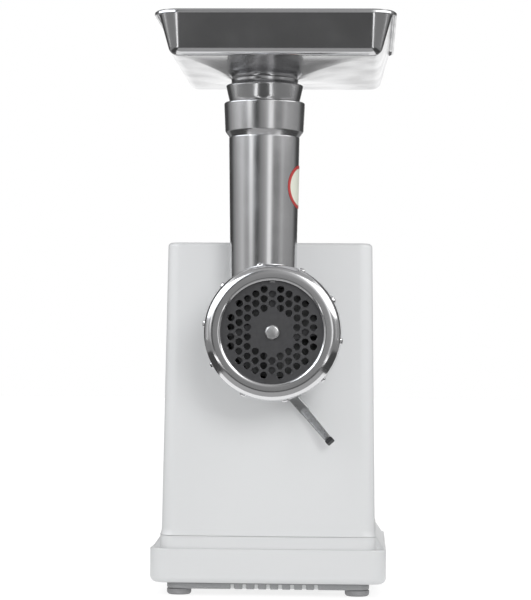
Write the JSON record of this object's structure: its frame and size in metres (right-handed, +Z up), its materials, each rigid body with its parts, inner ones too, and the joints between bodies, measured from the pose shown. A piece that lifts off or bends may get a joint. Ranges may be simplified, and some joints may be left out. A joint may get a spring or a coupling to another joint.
{
  "type": "electric meat grinder",
  "caption": "Countertop electric grinder with a boxed motor base, a metal barrel with a perforated plate and ring nut, a tall feed neck and a rectangular food tray.",
  "frame": {"origin": "centre of the whole machine's footprint, on the table it stands on", "axes": "+Z up; -Y the side the grinding plate faces, towards the person using it; +X to the right as seen from there"},
  "size_m": [0.1592, 0.3342, 0.3658],
  "materials": {
    "white_plastic": "moulded, satin gloss",
    "grey_plastic": "fine grained",
    "black_plastic": "satin",
    "cream_plastic": "moulded nylon",
    "rubber": "matte",
    "polished_metal": "mirror polished",
    "cast_metal": "satin cast",
    "tray_metal": "polished sheet",
    "plate_steel": "dark ground steel",
    "plain_steel": "machined",
    "lamination": "varnished laminations",
    "copper": "enamelled copper",
    "bronze": "sintered bronze",
    "carbon": "pressed carbon"
  },
  "bodies": {
    "base": {"housing_shell": "white_plastic", "base_shell": "white_plastic", "bottom_cover": "grey_plastic", "foot_front_left": "rubber", "foot_front_right": "rubber", "foot_back_left": "rubber", "foot_back_right": "rubber", "cover_screw_front_left": "plain_steel", "cover_screw_front_right": "plain_steel", "cover_screw_back_left": "plain_steel", "cover_screw_back_right": "plain_steel", "head_socket": "cast_metal", "gearbox_case": "cast_metal", "gearbox_cover": "cast_metal", "gearbox_screw_1": "plain_steel", "gearbox_screw_2": "plain_steel", "gearbox_screw_3": "plain_steel", "idler_axle": "plain_steel", "output_bush_front": "bronze", "output_bush_rear": "bronze", "stator_core": "lamination", "field_coil_left": "copper", "field_coil_right": "copper", "motor_front_bracket": "cast_metal", "motor_rear_bracket": "cast_metal", "motor_front_bearing": "plain_steel", "motor_rear_bearing": "plain_steel", "brush_left": "carbon", "brush_right": "carbon", "brush_holder_left": "bronze", "brush_holder_right": "bronze", "motor_bolt_left": "plain_steel", "motor_bolt_right": "plain_steel", "switch_body": "black_plastic", "cord_gland": "black_plastic"},
    "head": {"grinder_head": "polished_metal", "auger_bush": "cream_plastic"},
    "auger": {"auger": "cast_metal", "auger_pin": "polished_metal", "knife": "plain_steel"},
    "ring_nut": {"ring_nut": "polished_metal"},
    "cutting_plate": {"cutting_plate": "plate_steel"},
    "tray": {"tray": "tray_metal"},
    "clamp": {"clamp_lever": "cast_metal", "lever_tip": "black_plastic", "clamp_stud": "plain_steel"},
    "rocker": {"switch_rocker": "black_plastic"},
    "motor_rotor": {"motor_shaft": "plain_steel", "motor_pinion": "plain_steel", "armature_core": "lamination", "commutator": "copper", "cooling_fan": "black_plastic"},
    "idler": {"idler_wheel": "cream_plastic", "idler_pinion": "plain_steel"},
    "output": {"output_gear": "plain_steel", "output_spindle": "plain_steel"}
  },
  "joints": [
    {"name": "motor_spin", "type": "hinge", "parent": "base", "child": "motor_rotor", "pos_m": [-0.00111, 0, 0.09277], "axis": [0, 1, 0], "continuous": true},
    {"name": "idler_spin", "type": "hinge", "parent": "base", "child": "idler", "pos_m": [0.02106, 0, 0.12114], "axis": [0, 1, 0], "continuous": true},
    {"name": "output_spin", "type": "hinge", "parent": "base", "child": "output", "pos_m": [0.0044, 0, 0.1724], "axis": [0, 1, 0], "continuous": true},
    {"name": "head_off", "type": "slide", "parent": "base", "child": "head", "axis": [0, -1, 0], "range_m": [0, 0.07]},
    {"name": "auger_spin", "type": "hinge", "parent": "head", "child": "auger", "pos_m": [0.0044, 0, 0.1724], "axis": [0, 1, 0], "continuous": true},
    {"name": "nut_off", "type": "slide", "parent": "head", "child": "ring_nut", "axis": [0, -1, 0], "range_m": [0, 0.045]},
    {"name": "plate_off", "type": "slide", "parent": "head", "child": "cutting_plate", "axis": [0, -1, 0], "range_m": [0, 0.0225]},
    {"name": "tray_lift", "type": "slide", "parent": "head", "child": "tray", "axis": [0, 0, 1], "range_m": [0, 0.06]},
    {"name": "clamp_turn", "type": "hinge", "parent": "base", "child": "clamp", "pos_m": [0.0104, 0, 0.136], "axis": [0, 1, 0], "range_deg": [0, 80]},
    {"name": "switch_rock", "type": "hinge", "parent": "base", "child": "rocker", "pos_m": [-0.0677, 0, 0.192], "axis": [0, 1, 0], "range_deg": [-8, 8]}
  ],
  "couplings": [
    {"joint": "idler_spin", "follows": "motor_spin", "ratio": -0.16129},
    {"joint": "output_spin", "follows": "motor_spin", "ratio": 0.026882},
    {"joint": "auger_spin", "follows": "motor_spin", "ratio": 0.026882},
    {"joint": "plate_off", "follows": "nut_off", "ratio": 0.5}
  ]
}
